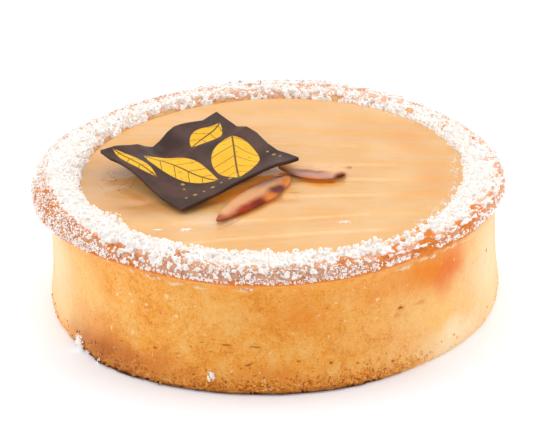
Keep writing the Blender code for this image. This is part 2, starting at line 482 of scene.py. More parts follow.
def turn_from(azimuth, centre):
    """How far one azimuth is from another, from -180 to 180 degrees."""
    return (azimuth - centre + 180) % 360 - 180


def on_round(azimuth, radius, height=0.0):
    """The point at this azimuth."""
    return Vector((radius * cos(radians(azimuth)), radius * sin(radians(azimuth)), height))


def read_off(table, number):
    """The value at a number, between the rows of a table of (number, value)."""
    return float(np.interp(number, *zip(*table)))


# ---------------------------------------------------------------- pastry case

# Cracks and pits in the wall: azimuth, height in mm, length, width and slope in degrees
CRACKS = (
    (-102.5, 8.7, 2.0, 0.34, -4),
    (-95.5, 8.6, 2.6, 0.36, 3),
    (-97.0, 5.3, 2.2, 0.34, 24),
    (-108.5, 8.9, 1.3, 0.26, 8),
    (-111.5, 7.9, 1.0, 0.26, -10),
    (-115.0, 6.2, 1.4, 0.26, 5),
    (-121.0, 6.3, 1.2, 0.3, -6),
    (-106.5, 7.2, 0.9, 0.3, 12),
    (-60.0, 1.8, 1.2, 0.3, 12),
    (-85.0, 1.9, 1.6, 0.4, -8),
    (-91.0, 2.6, 1.2, 0.4, 16),
)
# Azimuth, height and size in mm
PITS = (
    (-77.1, 4.9, 0.7),
    (-63.6, 2.0, 0.75),
    (-57.9, 12.0, 0.62),
    (-72.0, 2.1, 0.5),
    (-69.0, 4.0, 0.34),
    (-63.0, 4.6, 0.3),
    (-55.0, 2.6, 0.3),
    (-96.0, 3.4, 0.4),
    (-126.0, 7.0, 0.35),
    (-131.0, 7.6, 0.3),
)
# Thin torn edges of dough that hang out under the rim: azimuth, half width in degrees, height in mm
LEDGES = (
    (-126.5, 1.7, 20.0),
    (-120.7, 2.6, 19.8),
    (-114.5, 3.4, 19.6),
    (-108.5, 2.4, 19.4),
    (-98.0, 2.6, 19.6),
    (-57.5, 3.4, 19.8),
    (-50.5, 4.2, 20.2),
    (-43.0, 4.2, 20.3),
    (-36.5, 3.2, 19.9),
)
# How rough the foot is at each azimuth: the front is crumbly, and both its ends are smooth
FOOT_ROUGHNESS = (
    (-180, 0.02),
    (-152, 0.05),
    (-138, 1.0),
    (-66, 1.0),
    (-51, 0.15),
    (-36, 0.01),
    (10, 0.05),
    (50, 0.8),
    (130, 0.8),
    (180, 0.02),
)


def case_section():
    """The section of the case, from under the base round to the pear's bed."""
    outside = smooth_line([(r * MM, z * MM) for r, z in CASE_OUTSIDE], CASE_ROW)
    foot_radius = outside[0][0]
    inner_radius = outside[-1][0]
    base = [Vector((foot_radius * share, 0.0)) for share in (0.9, 0.97)]
    bed = [Vector((inner_radius, PEAR_BED + 1.4 * MM))]
    bed += [Vector((inner_radius * share, PEAR_BED)) for share in (1.0, 0.9)]
    return base + outside + bed


def along_wall(place, azimuth, height):
    """How far a place lies from a point of the wall: along the wall, and up."""
    return radians(turn_from(azimuth_of(place), azimuth)) * WALL_RADIUS, place.z - height


def under_wall(place):
    """Whether a place is further in than the wall's surface."""
    return hypot(place.x, place.y) < WALL_RADIUS - WALL_SKIN


def crack_depth(place):
    """1 at the bottom of a crack or pit of the wall."""
    if place.z > RIM_FOOT or under_wall(place):
        return 0.0
    deepest = 0.0
    for azimuth, height, length, width, slope in CRACKS:
        side, up = along_wall(place, azimuth, height * MM)
        if abs(side) > length * MM or abs(up) > length * MM:
            continue
        angle = radians(slope)
        run = abs(side * cos(angle) + up * sin(angle)) / (0.5 * length * MM)
        off = abs(up * cos(angle) - side * sin(angle)) / (0.9 * width * MM)
        deepest = max(deepest, 1 - run**3 - off)
    for azimuth, height, size in PITS:
        side, up = along_wall(place, azimuth, height * MM)
        deepest = max(deepest, 1.3 - hypot(side, up) / (0.5 * size * MM))
    return deepest


def ledge_height(place):
    """How far a torn edge of dough hangs out under the rim: 1 or a little more in its middle."""
    if under_wall(place):
        return 0.0
    here = azimuth_of(place)
    wander = 0.7 * MM * noise.noise(place / (1.6 * MM))
    ragged = 0.6 + 1.2 * noise.noise(place / (0.8 * MM))
    total = 0.0
    for azimuth, half_width, height in LEDGES:
        away = turn_from(here, azimuth) / half_width
        up = (place.z - height * MM + wander) / (0.45 * MM)
        total = max(total, ragged * max(0.0, 1 - away * away) * max(0.0, 1 - up * up))
    return total


def foot_crumb(place):
    """How crumbly the surface is: most at the foot, where the dough lay on the sheet."""
    if not 0.45 * MM < place.z < FOOT_CRUMB_TOP or under_wall(place):
        return 0.0
    rough = read_off(FOOT_ROUGHNESS, azimuth_of(place))
    return rough * 1.5 * (1 - place.z / FOOT_CRUMB_TOP)


def spread_foot(case):
    """Draws out the lowest edge at the front into a thin lip, which the crust's finish paints dark as the
    contact shadow on the table.

    It goes out in small moves, each over a narrower stretch, so that the lip's ends taper off.
    """
    insets = (0, 5, 10, 15)
    spread = 1 + FOOT_SPREAD / WALL_RADIUS / len(insets)
    for inset in insets:
        choose(case)
        bpy.ops.object.mode_set(mode="EDIT")
        bpy.ops.mesh.select_all(action="DESELECT")
        bpy.ops.object.mode_set(mode="OBJECT")
        for vertex in case.data.vertices:
            place = vertex.co
            low = place.z < FOOT_LIP and place.xy.length > WALL_RADIUS
            vertex.select = low and FOOT_LIP_FROM + inset < azimuth_of(place) < FOOT_LIP_TO - inset
        bpy.ops.object.mode_set(mode="EDIT")
        bpy.ops.transform.resize(value=(spread, spread, 1.0), center_override=(0, 0, 0))
        bpy.ops.object.mode_set(mode="OBJECT")


def rim_share(place):
    """1 on the rolled rim and 0 on the wall and inside it."""
    if hypot(place.x, place.y) < RIM_INNER_RADIUS - 0.2 * MM:
        return 0.0
    return held((place.z - RIM_FOOT) / MM)


def crest_share(place):
    """How much of CREST_DROP a place takes: none at the rim's outer edge, all on the crest at the front."""
    radius = hypot(place.x, place.y)
    if radius < RIM_INNER_RADIUS - 0.1 * MM or place.z < 22.3 * MM:
        return 0.0
    inward = held((41.8 * MM - radius) / (3.6 * MM))
    front = 0.5 - 0.5 * sin(atan2(place.y, place.x))
    return inward * inward * (3 - 2 * inward) * (0.35 + 0.65 * min(1.0, 1.2 * front))


def overhang_share(place, side):
    """1 where the rim's lip reaches furthest to one side: -1 is left and 1 is right."""
    radius = hypot(place.x, place.y)
    if radius < 39 * MM or place.z < RIM_FOOT:
        return 0.0
    low = min(1.0, (place.z - RIM_FOOT) / (0.8 * MM)) * min(1.0, (radius - 39 * MM) / (2 * MM))
    return low * max(0.0, side * place.x / radius) ** 3


def wall_share(place):
    """1 on the wall."""
    if hypot(place.x, place.y) < WALL_RADIUS - 1.5 * MM or place.z < 0.3 * MM:
        return 0.0
    return held((RIM_FOOT + 0.5 * MM - place.z) / MM)


def make_case():
    """The case, drawn on to its solid and then given the unevenness of baked dough."""
    case = turned("crust_case", case_section(), CASE_STEPS)
    modify(case, "SHRINKWRAP", target=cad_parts["crust"], wrap_method="NEAREST_SURFACEPOINT")
    refine(case, 2)
    close_holes(case)
    wall = weigh(case, "wall", wall_share)
    rim = weigh(case, "rim", rim_share)
    foot = weigh(case, "foot", foot_crumb)
    cracks = weigh(case, "cracks", crack_depth)
    ledges = weigh(case, "ledges", ledge_height)
    crest = weigh(case, "crest", crest_share)
    left = weigh(case, "left", lambda place: overhang_share(place, -1))
    right = weigh(case, "right", lambda place: overhang_share(place, 1))
    displace(case, -CREST_DROP, group=crest, direction="Z")
    displace(case, LIP_OUT_LEFT, group=left)
    displace(case, -LIP_IN_RIGHT, group=right)
    displace(case, 0.35 * MM, 6 * MM, wall)
    displace(case, 0.16 * MM, 0.8 * MM, wall, 3)
    displace(case, 0.5 * MM, 1.6 * MM, rim, 3)
    displace(case, 0.9 * MM, 0.9 * MM, foot, 2)
    displace(case, 0.5 * MM, 0.45 * MM, foot, 1)
    displace(case, -0.2 * MM, group=cracks)
    displace(case, 0.65 * MM, group=ledges)
    spread_foot(case)
    note_dusting(case)
    return case


def note_dusting(case):
    """Keeps with each point of the rim how thickly it is dusted, for the crust's finish to read."""
    dusting = case.data.attributes.new("dusting", "FLOAT", "POINT")
    for share, vertex in zip(dusting.data, case.data.vertices):
        if vertex.co.z > RIM_FOOT and vertex.co.xy.length > RIM_INNER_RADIUS - 0.5 * MM:
            share.value = sugar_cover(vertex.co)


def wall_spot(finish, azimuth, height, width, tall, softness=0.7, at=None):
    """A spot on the wall, of these half sizes in mm."""
    centre = on_round(azimuth, WALL_RADIUS, height * MM)
    return finish.spot(centre, radians(azimuth), (6 * MM, width * MM, tall * MM), softness, at)


# Colours of the baked dough, and of the painted light and shade on it
GOLDEN = colour(251, 168, 64)
STRAW = colour(254, 197, 114)
TOASTED = colour(230, 136, 44)
ORANGE = colour(240, 136, 26)
REDDENED = colour(236, 116, 36)
RUSSET = colour(204, 96, 34)
BROWN = colour(162, 80, 30)
RECESS_SHADE = colour(158, 70, 6)
CREAM_DOUGH = colour(255, 226, 182)
# Painted light on the wall's sides
PAINTED_SIDE_LIGHT = colour(253, 210, 152)
RIM_BROWN = colour(200, 108, 50)
RIM_GAP_SHADE = colour(118, 50, 34)
RIM_RED = colour(222, 116, 34)
RIM_ORANGE = colour(232, 128, 26)
RIM_GOLD = colour(240, 156, 80)
POWDERED = colour(246, 219, 202)
GLAZED_EDGE = colour(246, 198, 132)
CONTACT_SHADOW = colour(108, 42, 18)

# Broad patches of the wall's colour: azimuth, height in mm, half width and half height in mm, colour,
# strength
WALL_PATCHES = (
    (-84, 14.5, 9.0, 6.5, ORANGE, 0.5),
    (-66, 17.0, 10.0, 3.5, ORANGE, 0.4),
    (-101, 14.0, 6.0, 4.5, STRAW, 0.45),
    (-73, 8.0, 6.0, 4.0, STRAW, 0.3),
    # Painted light: the wide pale patch at the far left, where the wall is lit at a glancing angle
    (-166, 12.0, 13.0, 13.0, CREAM_DOUGH, 0.85),
    (-146, 14.0, 10.0, 9.0, STRAW, 0.4),
    (-138, 4.5, 13.0, 8.0, RUSSET, 0.4),
    (-136, 1.5, 17.0, 6.0, BROWN, 1.0),
    (-122, 3.4, 11.0, 4.4, RUSSET, 0.5),
    (-92, 3.0, 9.0, 3.0, TOASTED, 0.6),
    # Painted light: the wide pale patch at the far right, in the same way
    (-18, 10.0, 14.0, 14.0, CREAM_DOUGH, 0.8),
    (-45, 8.0, 11.0, 9.0, STRAW, 0.7),
    (-40, 2.6, 13.0, 4.5, CREAM_DOUGH, 0.95),
    (-48, 17.2, 12.5, 6.5, ORANGE, 1.0),
    (-41, 15.8, 6.5, 6.5, REDDENED, 0.9),
    (60, 12.0, 14.0, 7.0, ORANGE, 0.4),
    (120, 9.0, 14.0, 6.0, TOASTED, 0.4),
    (175, 10.0, 10.0, 8.0, STRAW, 0.4),
)
# Small marks on the wall, in the same way
WALL_MARKS = (
    (-57.9, 12.0, 1.2, 0.9, TOASTED, 0.5),
    # Painted shade in the pit at -57.9
    (-57.9, 12.0, 0.6, 0.45, RECESS_SHADE, 0.8),
    (-59.0, 10.9, 0.9, 0.6, TOASTED, 0.5),
    (-52.0, 11.8, 1.5, 0.5, TOASTED, 0.5),
    (-20.4, 12.8, 0.5, 0.4, BROWN, 0.8),
    (-116.7, 15.8, 0.5, 0.35, BROWN, 0.35),
    (-117.4, 16.8, 0.6, 0.4, CREAM_DOUGH, 0.7),
    (-132.9, 13.8, 0.35, 0.45, CREAM_DOUGH, 0.8),
    (-128.0, 13.6, 0.3, 0.4, CREAM_DOUGH, 0.8),
    (-123.6, 13.9, 0.45, 0.4, CREAM_DOUGH, 0.7),
    (-115.3, 12.9, 0.5, 0.4, CREAM_DOUGH, 0.7),
    (-135.0, 7.3, 0.3, 0.7, CREAM_DOUGH, 0.6),
    (-127.8, 7.9, 0.35, 0.6, CREAM_DOUGH, 0.6),
    (-73.3, 12.1, 0.3, 0.3, CREAM_DOUGH, 0.8),
    (-75.5, 15.8, 0.4, 0.3, CREAM_DOUGH, 0.7),
    (-64.6, 15.0, 0.4, 0.35, CREAM_DOUGH, 0.7),
    (-85.0, 5.8, 0.4, 0.3, BROWN, 0.7),
    (-70.6, 4.1, 0.4, 0.35, BROWN, 0.7),
    (-67.2, 2.5, 0.5, 0.4, BROWN, 0.8),
    (-61.5, 3.0, 0.4, 0.35, BROWN, 0.8),
    (-96.9, 4.9, 0.9, 0.8, GOLDEN, 0.4),
)


def crust_finish():
    """Baked shortcrust: the mottled wall, the browner rim with its film of sugar, and the crumbly foot."""
    constants = {
        "Specular IOR Level": 0.25,
        "Sheen Weight": 0.22,
        "Sheen Roughness": 0.4,
        "Sheen Tint": colour(255, 236, 210),
        "Subsurface Weight": 0.1,
        "Subsurface Radius": (1.0, 0.45, 0.2),
        "Subsurface Scale": 0.6 * MM,
    }
    finish = Finish("baked_shortcrust", constants)
    x, y, z = finish.split(finish.place)
    height = z / MM
    ragged = finish.shifted(2.4 * MM, 6 * MM)
    fine_ragged = finish.shifted(0.45 * MM, 1.1 * MM)

    broad = finish.grain(8 * MM, 3.0, 0.5, distortion=0.4)
    mottle = finish.grain(1.3 * MM, 5.0, 0.7)
    specks = finish.grain(0.36 * MM, 3.0, 0.75)
    blend = broad * 0.35 + mottle * 0.35 + specks * 0.3
    skin = finish.ramp(blend, (0.38, TOASTED), (0.48, GOLDEN), (0.6, STRAW))
    skin = finish.mix(specks.rise(0.52, 0.68) * 0.5, skin, STRAW)
    skin = finish.mix(specks.rise(0.47, 0.3) * 0.55, skin, TOASTED)

    # Painted light: both sides are paler than the front, where the wall is lit at a glancing angle
    skin = finish.mix(x.rise(8 * MM, 38 * MM) * (mottle * 0.5 + 0.45), skin, PAINTED_SIDE_LIGHT)
    skin = finish.mix(x.rise(-27 * MM, -39 * MM) * (mottle * 0.4 + 0.5), skin, PAINTED_SIDE_LIGHT)
    for azimuth, low, width, tall, shade, share in WALL_PATCHES:
        mask = wall_spot(finish, azimuth, low, width, tall, 0.95, ragged)
        skin = finish.mix(mask * (mottle * 0.6 + 0.7) * share, skin, shade)
    under_rim = height.rise(16.5, 20.2) * broad.rise(0.35, 0.6)
    skin = finish.mix(under_rim * 0.25, skin, ORANGE)

    # Small pale and dark flecks
    flecks = finish.grain(0.9 * MM, 2.0, 0.5)
    skin = finish.mix(flecks.rise(0.7, 0.76) * 0.7, skin, CREAM_DOUGH)
    skin = finish.mix(flecks.rise(0.29, 0.24) * 0.6, skin, RUSSET)
    for azimuth, low, width, tall, shade, share in WALL_MARKS:
        mask = wall_spot(finish, azimuth, low, width, tall, 0.6, fine_ragged)
        skin = finish.mix(mask * share, skin, shade)

    # The crumbly foot, and the dark lip under it, painted as the shadow where the tart meets the table
    foot = (height + mottle * 3.0).rise(5.2, 2.2)
    crumb = finish.grain(0.55 * MM, 4.0, 0.75)
    foot_skin = finish.ramp(crumb, (0.36, BROWN), (0.45, TOASTED), (0.54, GOLDEN), (0.66, STRAW))
    skin = finish.mix(foot * x.rise(26 * MM, 6 * MM) * 0.65, skin, foot_skin)
    lip = (height + mottle * 0.3).rise(0.66, 0.44)
    skin = finish.mix(lip * x.rise(26 * MM, 12 * MM) * x.rise(-38 * MM, -34 * MM), skin, CONTACT_SHADOW)

    # The rolled rim: speckled with painted shade, as between grains of sugar, reddened at its outer edge and
    # more orange to the right
    radius = (x * x + y * y) ** 0.5 / MM
    on_rim = (height + mottle * 1.4).rise(21.2, 22.0)
    rim_skin = finish.ramp(crumb * 0.6 + mottle * 0.4, (0.38, RIM_GAP_SHADE), (0.46, RIM_BROWN), (0.58, RIM_GOLD))
    edge = height.rise(20.5, 21.0) * height.rise(22.4, 21.6) * radius.rise(40.4, 41.0)
    rim_skin = finish.mix(edge * 0.7, rim_skin, RIM_RED)
    rim_skin = finish.mix(x.rise(2 * MM, 26 * MM) * 0.75, rim_skin, RIM_ORANGE)
    skin = finish.mix(on_rim, skin, rim_skin)
    skin = finish.mix(edge * mottle.rise(0.4, 0.55) * 0.6, skin, RIM_RED)

    # A film of sugar too fine to see as grains, and glaze that has run up the rim's inner slope
    dusting = finish.node("ShaderNodeAttribute", {"attribute_name": "dusting"}, None, 2)
    powder = (dusting + finish.grain(0.3 * MM, 2.0, 0.7)).rise(0.95, 1.5)
    thicker = (x.rise(5 * MM, 30 * MM) + y.rise(5 * MM, 25 * MM)).at_most(1.0)
    wet = radius.rise(38.2, 37.0) * height.rise(21.0, 22.0) * dusting.rise(0.7, 0.35)
    skin = finish.mix(wet * 0.95, skin, GLAZED_EDGE)
    skin = finish.mix(powder * (0.6 + 0.32 * thicker), skin, POWDERED)

    # Torn ledges are pale, and cracks and pits are dark with painted shade
    pale_edge = 0.0
    for azimuth, half_width, ledge in LEDGES:
        width = radians(half_width) * WALL_RADIUS / MM
        band = wall_spot(finish, azimuth, ledge, width, 0.5, 0.9, fine_ragged)
        pale_edge = band.at_least(pale_edge)
    skin = finish.mix(pale_edge * specks.rise(0.3, 0.46) * 0.9, skin, CREAM_DOUGH)
    dark = 0.0
    for azimuth, low, length, width, slope in CRACKS:
        centre = on_round(azimuth, WALL_RADIUS, low * MM)
        turn = radians(azimuth)
        mask = tilted_spot(finish, centre, turn, radians(slope), 0.5 * length, 0.5 * width, fine_ragged)
        dark = mask.at_least(dark)
    for azimuth, low, size in PITS:
        dark = wall_spot(finish, azimuth, low, 0.55 * size, 0.5 * size, 0.6, fine_ragged).at_least(dark)
    skin = finish.mix(dark * 0.75, skin, RECESS_SHADE)

    finish.feed("Base Color", skin)
    finish.feed("Roughness", 0.68 + 0.25 * mottle - 0.4 * wet)
    relief = finish.bump(mottle, 0.22 * MM)
    finish.feed("Normal", finish.bump(specks, 0.12 * MM, relief))
    return finish


def tilted_spot(finish, centre, turn, slope, length, width, at):
    """A thin spot on the wall, tilted from the level. Its half sizes are in mm."""
    sockets = {
        "Vector": at,
        "Location": centre,
        "Rotation": (slope, 0, turn),
        "Scale": (6 * MM, length * MM, width * MM),
    }
    inside = finish.node("ShaderNodeMapping", {"vector_type": "TEXTURE"}, sockets)
    reach = finish.node("ShaderNodeVectorMath", {"operation": "LENGTH"}, {0: inside}, "Value")
    return reach.rise(1.0, 0.4)


# ---------------------------------------------------------------- pear under its glaze


def make_glazed_pear():
    """A disc that follows the pear slices, with the glaze run level over their edges."""
    top = smooth_line([(0.0, GLAZE_EDGE + 0.3 * MM), (GLAZE_RADIUS - 0.3 * MM, GLAZE_EDGE)], 0.5 * MM)
    side = [Vector((GLAZE_RADIUS, GLAZE_EDGE - 0.2 * MM)), Vector((GLAZE_RADIUS, PEAR_BED + 0.2 * MM))]
    under = [Vector((GLAZE_RADIUS * 0.5, PEAR_BED + 0.2 * MM)), Vector((0.0, PEAR_BED + 0.2 * MM))]
    glaze = turned("glazed_pear", list(reversed(top + side + under)), 300)
    slices = merged_copy("slices", *PEAR_SLICES)
    upper = weigh(glaze, "upper", lambda place: 1.0 if place.z > GLAZE_EDGE - 0.1 * MM else 0.0)
    modify(
        glaze,
        "SHRINKWRAP",
        target=slices,
        wrap_method="PROJECT",
        use_project_z=True,
        use_negative_direction=True,
        use_positive_direction=True,
        project_limit=1.5 * MM,
        offset=GLAZE_DEPTH,
        vertex_group=upper,
    )
    modify(glaze, "SMOOTH", factor=0.5, iterations=14, vertex_group=upper)
    displace(glaze, 0.16 * MM, 5 * MM, upper, direction="Z")
    bpy.data.objects.remove(slices)
    return glaze


GLAZE_GOLD = colour(234, 174, 98)
GLAZE_STRAW = colour(238, 186, 120)
GLAZE_CREAM = colour(236, 198, 154)
GLAZE_ORANGE = colour(232, 150, 60)
GLAZE_GREY = colour(216, 166, 114)
GLAZE_TAN = colour(200, 138, 76)
GLAZE_AMBER_AND_SHADE = colour(184, 92, 26)
FIBRE = colour(130, 84, 44)

# Patches of the glaze: centre in mm, turn in degrees, half length and half width in mm, colour, strength,
# softness
GLAZE_PATCHES = (
    ((-30, 0), 0, (8, 16), GLAZE_GREY, 0.8, 0.9),
    ((-24, -13), -40, (11, 6), GLAZE_TAN, 0.75, 0.9),
    ((-11, -19), -20, (10, 4), GLAZE_CREAM, 0.8, 0.9),
    ((25, 14), 20, (6, 12), GLAZE_ORANGE, 0.35, 0.9),
    ((29, -4), 0, (5, 12), GLAZE_ORANGE, 0.3, 0.9),
    ((2, 24), 0, (22, 6), GLAZE_STRAW, 0.5, 0.9),
    # Painted shade: warm strips along the chocolate's lower right and lower left edges, where it shades the
    # glaze; the two small amber spots below are a drop and a speck of the glaze itself
    ((-4.4, -6.4), 43, (15, 1.7), GLAZE_AMBER_AND_SHADE, 0.95, 0.7),
    ((-24.4, -8.2), -53, (13, 1.6), GLAZE_AMBER_AND_SHADE, 0.4, 0.9),
    ((-25.5, 12.0), 36, (6, 3.0), GLAZE_ORANGE, 0.3, 0.8),
    ((9.0, -5.6), 0, (4.0, 2.0), GLAZE_ORANGE, 0.8, 0.8),
    ((10.4, -4.9), 0, (1.2, 1.1), GLAZE_AMBER_AND_SHADE, 0.7, 0.7),
    ((13.9, 1.2), 0, (0.8, 1.0), GLAZE_AMBER_AND_SHADE, 0.8, 0.6),
    ((-7.0, -20.3), 38, (4.5, 0.35), FIBRE, 0.35, 0.8),
    ((3.8, -9.3), 4, (2.2, 0.4), FIBRE, 0.3, 0.8),
)
# Painted glow: amber emission lights the shade under the chocolate and the flakes. In the same way: centre,
# turn, half sizes, strength
GLAZE_GLOWS = (
    ((-4.0, -6.2), 43, (14, 3.2), 0.9),
    ((-24.2, -8.4), -53, (13, 2.4), 0.16),
    ((-26.5, -1.5), -53, (9, 6), 0.16),
    ((8.4, -5.0), 0, (6.5, 2.4), 0.55),
    ((-1.5, -13.4), 52, (13, 2.6), 0.4),
)
GLOWING_AMBER = colour(244, 142, 34)


def glaze_finish():
    """Poached pear seen through a set glaze, streaked along the cut slices, browned in places, with painted
    warm shade and glow.
    """
    constants = {
        "Roughness": 0.32,
        "Emission Strength": 0.4,
        "Coat Weight": 0.75,
        "Coat Roughness": 0.1,
        "Coat IOR": 1.4,
        "Subsurface Weight": 0.25,
        "Subsurface Radius": (1.0, 0.55, 0.25),
        "Subsurface Scale": 1.2 * MM,
    }
    finish = Finish("glazed_pear", constants)
    x, y, _ = finish.split(finish.place)
    ragged = finish.shifted(2.0 * MM, 8 * MM)
    fine_ragged = finish.shifted(0.3 * MM, 1.5 * MM)

    # Streaks follow the cut pear's grain, which fans out from one point far to the right
    away_x = FAN_CENTRE[0] - x
    away_y = y - FAN_CENTRE[1]
    slope = away_y / away_x
    wander = finish.grain(14 * MM, 2.0)
    along = finish.join(x * 0.1, slope * 0.165 + wander * (2.4 * MM), 0.0)
    streaks = finish.grain(1.1 * MM, 3.0, 0.6, along)
    broad_streaks = finish.grain(3.4 * MM, 2.0, 0.5, along)
    cloud = finish.grain(11 * MM, 3.0, 0.5)

    skin = finish.mix(cloud.rise(0.35, 0.65), GLAZE_GOLD, GLAZE_STRAW)
    skin = finish.mix(streaks.rise(0.5, 0.72) * 0.28, skin, GLAZE_CREAM)
    skin = finish.mix(streaks.rise(0.46, 0.28) * 0.18, skin, GLAZE_ORANGE)
    skin = finish.mix(broad_streaks.rise(0.55, 0.75) * 0.24, skin, GLAZE_CREAM)

    for centre, turn, size, shade, share, softness in GLAZE_PATCHES:
        middle = Vector((*centre, 23)) * MM
        reach = Vector((*size, 8)) * MM
        at = ragged if min(size) > 2.5 else fine_ragged
        mask = finish.spot(middle, radians(turn), reach, softness, at)
        skin = finish.mix(mask * share, skin, shade)

    # Thin dark fibres of the pear's core, at the left
    curl = finish.grain(4.5 * MM, 1.0, 0.5, distortion=1.4)
    near_half = abs(curl - 0.5)
    core = finish.spot(Vector((-27.8, -1.0, 23)) * MM, 0.0, Vector((5.0, 7.5, 8)) * MM, 0.7)
    skin = finish.mix(near_half.rise(0.026, 0.008) * core * 0.85, skin, FIBRE)

    # Painted glow: amber emission lights up the shade under the chocolate and the flakes, in place of light
    # through the glaze
    glow = 0.0
    for centre, turn, size, share in GLAZE_GLOWS:
        middle = Vector((*centre, 23)) * MM
        reach = Vector((*size, 8)) * MM
        glow = (finish.spot(middle, radians(turn), reach, 0.8) * share).at_least(glow)
    finish.feed("Emission Color", finish.mix(glow, (0.0, 0.0, 0.0, 1.0), GLOWING_AMBER))

    finish.feed("Base Color", skin)
    finish.feed("Normal", finish.bump(streaks, 0.04 * MM))
    return finish


# ---------------------------------------------------------------- icing sugar


def sugar_row(azimuth):
    """The sugar on the outer slope, crest and inner edge, and its reach over the glaze, at this azimuth."""
    for before, after in zip(SUGAR_ROUND, SUGAR_ROUND[1:]):
        if before[0] <= azimuth <= after[0]:
            share = (azimuth - before[0]) / (after[0] - before[0])
            return [a + (b - a) * share for a, b in zip(before[1:], after[1:])]
    return SUGAR_ROUND[0][1:]


def sugar_cover(place):
    """How thickly the sugar lies at a place on the rim or the glaze: about 1 is a closed coat."""
    radius = hypot(place.x, place.y)
    outer, crest, inner, reach = sugar_row(azimuth_of(place))
    scallop = 1.1 * noise.noise(place / (2.4 * MM)) + 0.7 * noise.noise(place / (0.9 * MM))
    inmost = RIM_INNER_RADIUS - (reach + (0.5 + 0.5 * abs(reach)) * scallop) * MM
    if radius > CREST_RADIUS:
        share = min(1.0, (radius - CREST_RADIUS) / (3.6 * MM))
        cover = crest + (outer - crest) * share**2.4
        ragged = 0.4 + 1.4 * noise.noise(place / (4.5 * MM)) + 0.8 * noise.noise(place / (1.2 * MM))
        cover *= held((place.z - RIM_FOOT) / MM - max(0.35, ragged))
    elif radius > RIM_INNER_RADIUS:
        share = (CREST_RADIUS - radius) / (CREST_RADIUS - RIM_INNER_RADIUS)
        cover = crest + (inner - crest) * share
    else:
        cover = inner
    cover *= held((radius - inmost) / (0.45 * MM))
    pushed = place.xy + 1.5 * MM * noise.noise_vector(place / (1.4 * MM)).xy
    for centre, ring, size in BARE_PATCHES:
        away = (pushed - on_round(centre, ring * MM).xy).length / (size * MM)
        cover -= 0.5 * max(0.0, 1 - away * away)
    return max(0.0, cover)


# The sugar coat's section in mm, from the rim's outer slope over the crest to the glaze, and back below
COAT_SECTION = (
    (39.6, 22.2),
    (40.0, 21.95),
    (40.5, 21.95),
    (41.0, 22.3),
    (41.1, 22.7),
    (40.9, 23.1),
    (40.2, 23.6),
    (38.8, 24.1),
    (37.0, 24.2),
    (35.9, 23.9),
    (35.1, 23.4),
    (34.5, 23.05),
    (33.4, 22.95),
    (31.6, 22.95),
)
COAT_UNDER = ((32.0, 21.6), (35.0, 21.4), (38.0, 22.2))
COAT_ROW = 0.46 * MM
COAT_STEPS = 490
# What part of the coat's section stays buried: below this height at each radius, both in mm
COAT_FLOOR = (
    (32.0, 22.2),
    (35.0, 22.0),
    (38.0, 22.7),
    (39.6, 22.5),
    (40.0, 22.15),
    (40.5, 21.85),
    (42.5, 21.6),
)


def upper_share(place):
    """1 on the part of the coat that lies on the crust and the glaze."""
    return 1.0 if place.z > read_off(COAT_FLOOR, hypot(place.x, place.y) / MM) * MM else 0.0


def snow_share(place):
    """How far a place of the coat stands up: in clumps, and more where the sugar lies thicker."""
    above = held((place.z - 21.9 * MM) / (0.5 * MM))
    clumped = 0.5 * noise.noise(place / (1.1 * MM)) + 0.3 * noise.noise(place / (0.5 * MM))
    return upper_share(place) * above * (1.8 * sugar_cover(place) - 0.81 + clumped)


def make_sugar_coat(case, glaze):
    """A ring of sugar that lies over the rim. Where there is none, it sinks under the crust."""
    top = smooth_line([(r * MM, z * MM) for r, z in COAT_SECTION], COAT_ROW)
    under = [Vector((r * MM, z * MM)) for r, z in COAT_UNDER]
    coat = turned("sugar_coat", top + under + [top[0]], COAT_STEPS, closed=True)
    ground = joined_copy("ground", case, glaze)
    upper = weigh(coat, "upper", upper_share)
    modify(coat, "SHRINKWRAP", target=ground, wrap_method="NEAREST_SURFACEPOINT", vertex_group=upper)
    refine(coat, 1)
    snow = weigh(coat, "snow", snow_share)
    displace(coat, -0.72 * MM, group=upper)
    displace(coat, 1.3 * MM, group=snow)
    displace(coat, 0.7 * MM, 1.5 * MM, snow, 2)
    displace(coat, 0.7 * MM, 0.55 * MM, snow, 1)
    displace(coat, 0.6 * MM, 0.3 * MM, snow, 1)
    bpy.data.objects.remove(ground)
    return coat


def model_grain(roundness):
    """The points and faces of one grain, of radius 1: 8 faces at roundness 0, then 20, 80 and 320."""
    bpy.ops.object.select_all(action="DESELECT")
    if roundness:
        bpy.ops.mesh.primitive_ico_sphere_add(subdivisions=roundness, radius=1.0)
        grain = named("grain")
        bpy.ops.object.mode_set(mode="EDIT")
    else:
        # A four-sided cone, with the middle of its base drawn down as far as its tip stands up
        bpy.ops.mesh.primitive_cone_add(vertices=4, radius1=1.0, depth=1.0, end_fill_type="TRIFAN")
        grain = named("grain")
        bpy.ops.object.mode_set(mode="EDIT")
        bpy.ops.mesh.select_all(action="DESELECT")
        bpy.ops.object.mode_set(mode="OBJECT")
        for vertex in grain.data.vertices:
            vertex.select = vertex.co.z < 0 and vertex.co.xy.length < 0.5
        bpy.ops.object.mode_set(mode="EDIT")
        bpy.ops.transform.translate(value=(0, 0, -1.0))
        bpy.ops.mesh.select_all(action="SELECT")
        bpy.ops.transform.translate(value=(0, 0, 0.5))
    bpy.ops.transform.vertex_random(offset=0.18, seed=4)
    bpy.ops.object.mode_set(mode="OBJECT")
    points = np.array([vertex.co[:] for vertex in grain.data.vertices])
    faces = [tuple(face.vertices) for face in grain.data.polygons]
    bpy.data.objects.remove(grain)
    return points, faces


